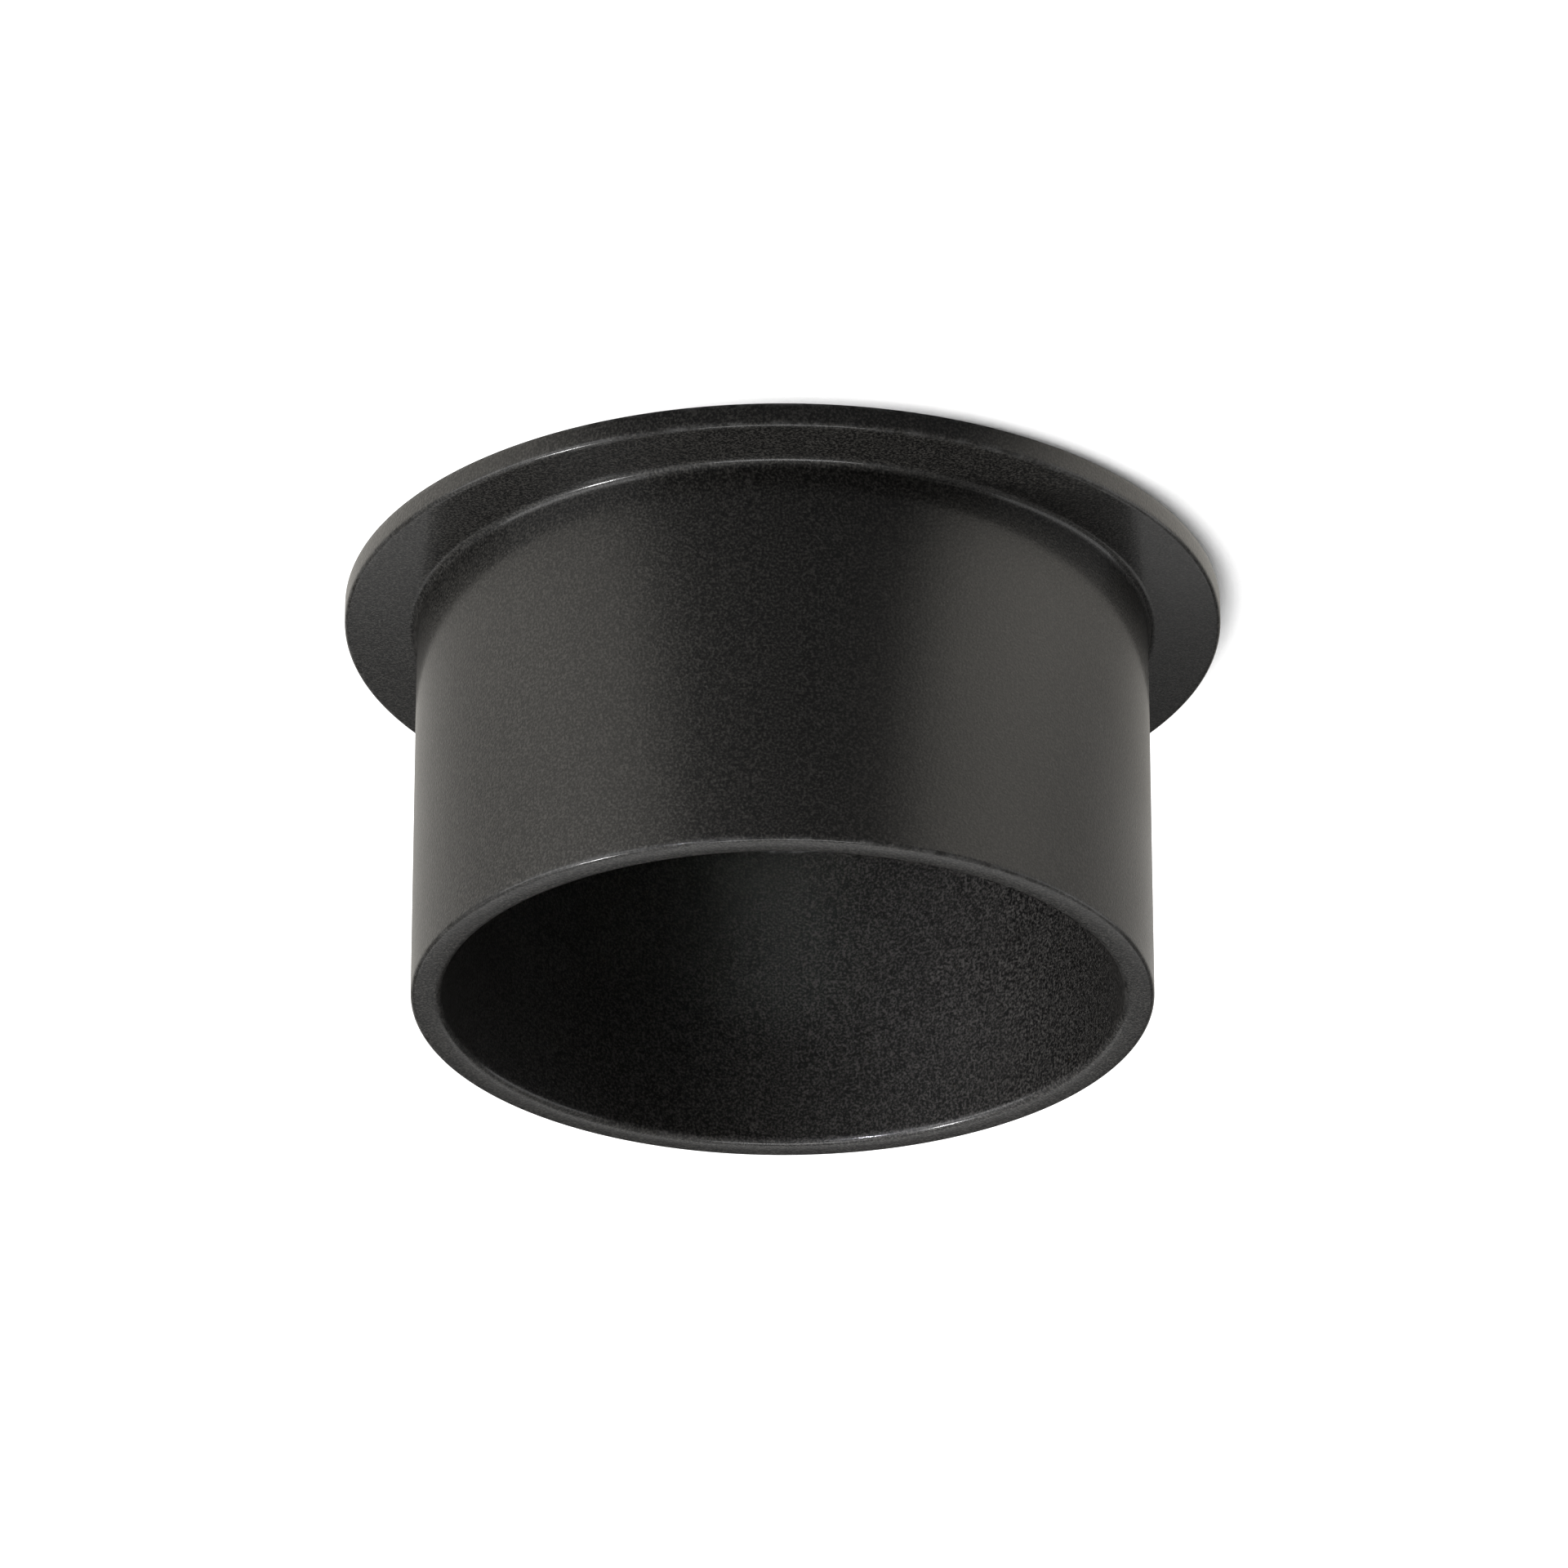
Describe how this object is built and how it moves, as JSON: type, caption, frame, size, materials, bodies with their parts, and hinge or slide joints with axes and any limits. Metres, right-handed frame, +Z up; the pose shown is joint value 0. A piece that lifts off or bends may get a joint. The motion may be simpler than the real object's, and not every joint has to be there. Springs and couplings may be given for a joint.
{
  "type": "recessed soffit downlight",
  "caption": "Black recessed soffit downlight: thin round flange and a deep plain round snoot, with finned heat sink, spring clips and terminal case above.",
  "frame": {"origin": "on the lamp's axis, in the plane of the soffit's underside that the flange and its gasket press on", "axes": "+Z up into the soffit along the lamp's axis; the snoot hangs below zero; the spring clips lie on +X and -X; the cable gland points along -Y"},
  "size_m": [0.1328, 0.0862, 0.1251],
  "materials": {
    "powder_black": "satin-matt black fine-textured powder coat on a die casting",
    "foam_black": "closed-cell foam, fine open skin",
    "silicone": "moulded silicone rubber, matt",
    "clear_glass": "clear tempered glass with ground edge",
    "reflector_metal": "bright anodised spun aluminium",
    "black_plastic": "moulded glass-filled plastic",
    "casting_black": "black powder coat on a die casting",
    "pad_blue": "soft thermal pad",
    "board_white": "white coated metal-core board",
    "phosphor": "yellow phosphor in clear silicone",
    "white_plastic": "white moulded plastic",
    "zinc_steel": "bright zinc-plated steel",
    "spring_steel": "pressed stainless strip",
    "spring_wire": "drawn stainless wire",
    "sleeve_rubber": "soft moulded sleeve",
    "case_plastic": "fine-textured moulded plastic",
    "terminal_brass": "nickelled brass screws",
    "lead_brown": "brown lead insulation",
    "lead_blue": "blue lead insulation",
    "lead_green": "green and yellow lead insulation",
    "lead_red": "red lead insulation",
    "lead_black": "black lead insulation",
    "gland_plastic": "black polyamide",
    "seal_rubber": "chloroprene rubber"
  },
  "bodies": {
    "root": {"trim": "powder_black", "soffit_gasket": "foam_black", "glass_seal": "silicone", "front_glass": "clear_glass", "reflector": "reflector_metal", "spacer_ring": "black_plastic", "body_gasket": "silicone", "heat_sink": "casting_black", "thermal_pad": "pad_blue", "led_board": "board_white", "led_emitter": "phosphor", "led_holder": "white_plastic", "holder_screws": "zinc_steel", "body_screws": "zinc_steel", "clip_bracket_left": "spring_steel", "clip_bracket_right": "spring_steel", "bracket_screws": "zinc_steel", "clip_pin_left": "zinc_steel", "clip_pin_right": "zinc_steel", "clip_spring_left": "spring_wire", "clip_spring_right": "spring_wire", "driver_case": "case_plastic", "case_screws": "zinc_steel", "terminal_block": "white_plastic", "terminal_screws": "terminal_brass", "lead_live": "lead_brown", "lead_neutral": "lead_blue", "lead_earth": "lead_green", "lead_led_plus": "lead_red", "lead_led_minus": "lead_black", "lid_pin": "zinc_steel", "gland_body": "gland_plastic", "gland_locknut": "gland_plastic", "gland_seal": "seal_rubber", "gland_nut": "gland_plastic"},
    "clip_left": {"clip_arm_left": "spring_steel", "clip_sleeve_left": "sleeve_rubber"},
    "clip_right": {"clip_arm_right": "spring_steel", "clip_sleeve_right": "sleeve_rubber"},
    "lid": {"terminal_lid": "case_plastic", "lid_seal": "silicone"}
  },
  "joints": [
    {"name": "clip_left_hinge", "type": "hinge", "parent": "root", "child": "clip_left", "pos_m": [-0.0338, 0, 0.01825], "axis": [0, 1, 0], "range_deg": [0, 110], "stiffness_Nm_per_rad": 0.12, "springref_deg": -34.38, "deforming": ["clip_spring_left"]},
    {"name": "clip_right_hinge", "type": "hinge", "parent": "root", "child": "clip_right", "pos_m": [0.0338, 0, 0.01825], "axis": [0, -1, 0], "range_deg": [0, 110], "stiffness_Nm_per_rad": 0.12, "springref_deg": -34.38, "deforming": ["clip_spring_right"]},
    {"name": "lid_hinge", "type": "hinge", "parent": "root", "child": "lid", "pos_m": [0, -0.0162, 0.08055], "axis": [1, 0, 0], "range_deg": [0, 110]}
  ]
}
